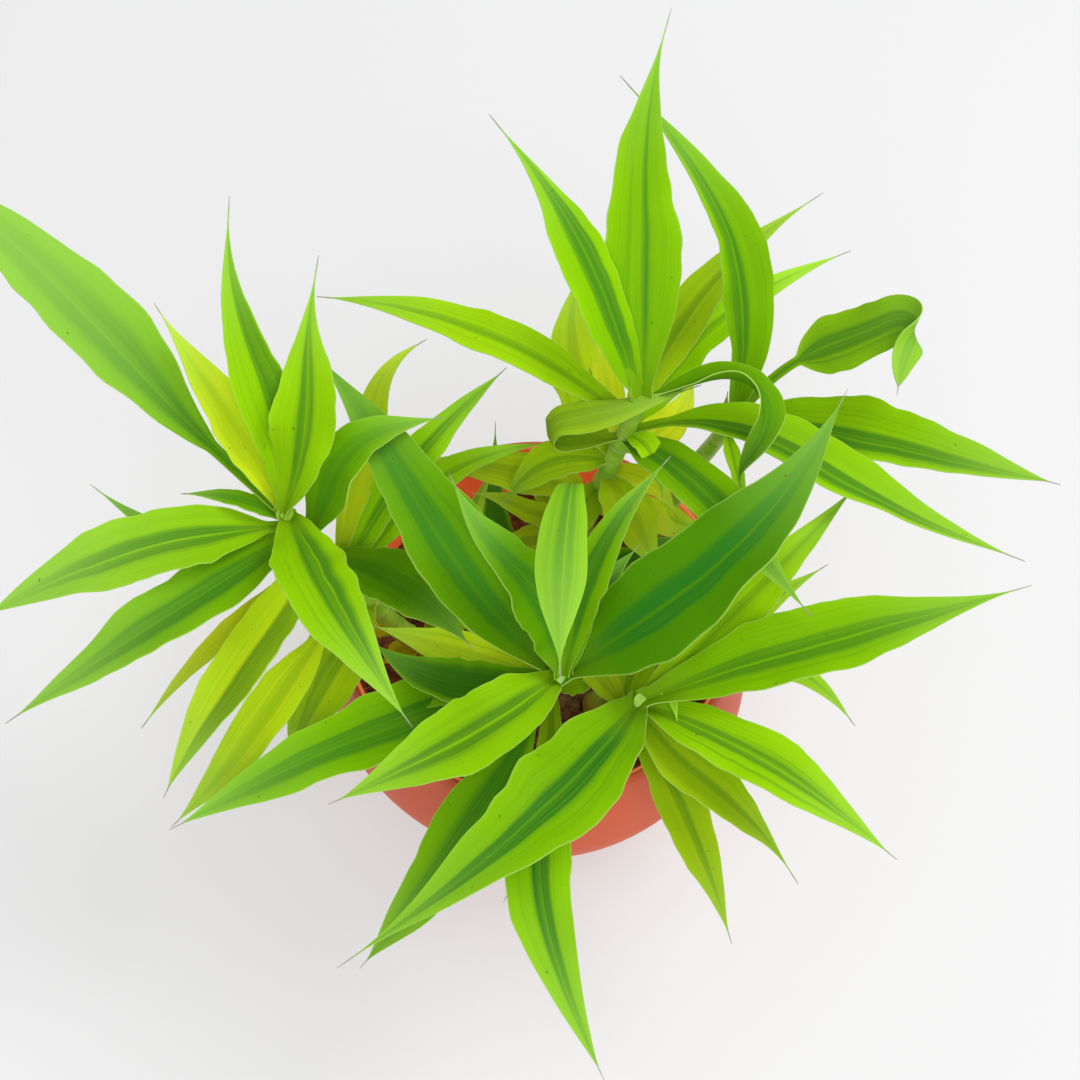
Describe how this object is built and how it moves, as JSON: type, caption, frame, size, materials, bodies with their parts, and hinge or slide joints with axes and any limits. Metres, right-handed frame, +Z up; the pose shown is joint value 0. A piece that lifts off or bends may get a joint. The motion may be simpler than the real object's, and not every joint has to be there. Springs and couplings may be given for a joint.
{
  "type": "potted lucky bamboo",
  "caption": "Bushy lucky bamboo with arching, variegated green leaves on leaning canes, standing in a round-bellied coral plastic pot filled with soil.",
  "frame": {"origin": "centre of the pot's flat base", "axes": "+Z up, -Y towards the side that the picture looks from, +X to its right"},
  "size_m": [0.3529, 0.2903, 0.2376],
  "materials": {
    "coral_plastic": "matte moulded plastic",
    "potting_soil": "loose, damp potting soil",
    "variegated_leaf": "living leaf, satin sheen, lime margins and dark green stripes"
  },
  "bodies": {
    "root": {"pot": "coral_plastic", "soil": "potting_soil", "leafy_stem_left": "variegated_leaf", "leafy_stem_back": "variegated_leaf", "leafy_stem_right": "variegated_leaf", "leafy_stem_front_left": "variegated_leaf", "leafy_stem_front_right": "variegated_leaf"}
  },
  "joints": []
}
